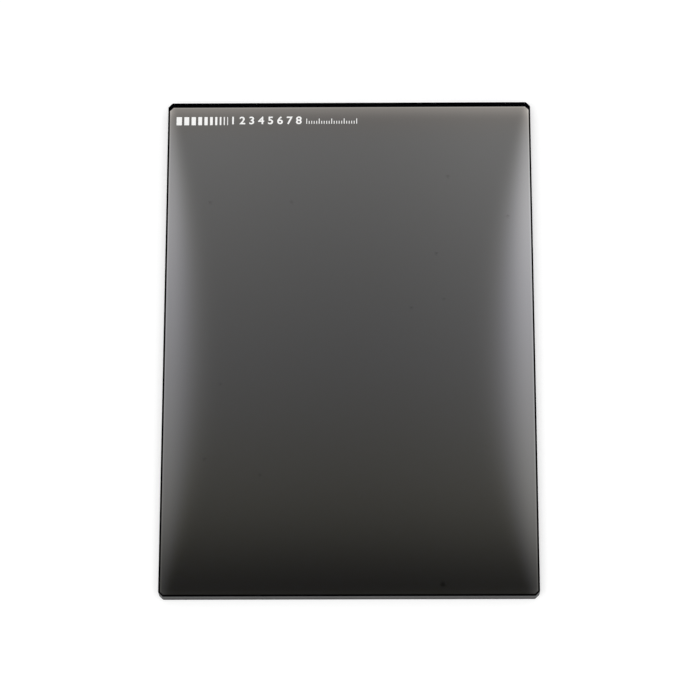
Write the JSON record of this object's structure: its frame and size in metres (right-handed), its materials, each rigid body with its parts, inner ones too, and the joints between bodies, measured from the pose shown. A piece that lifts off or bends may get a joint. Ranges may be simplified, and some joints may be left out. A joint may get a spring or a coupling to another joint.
{
  "type": "rectangular neutral density filter",
  "caption": "Rectangular 4 x 5.65 inch neutral density filter: one grey coated glass plate, 4 mm thick, with bevelled, blackened edges.",
  "frame": {"origin": "middle of the back face, which the plate lies on", "axes": "+X across the plate, +Y along its long side towards the marked end, +Z out of the front face"},
  "size_m": [0.1016, 0.1436, 0.004],
  "materials": {
    "coated_glass": "polished"
  },
  "bodies": {
    "root": {"filter_plate": "coated_glass"}
  },
  "joints": []
}
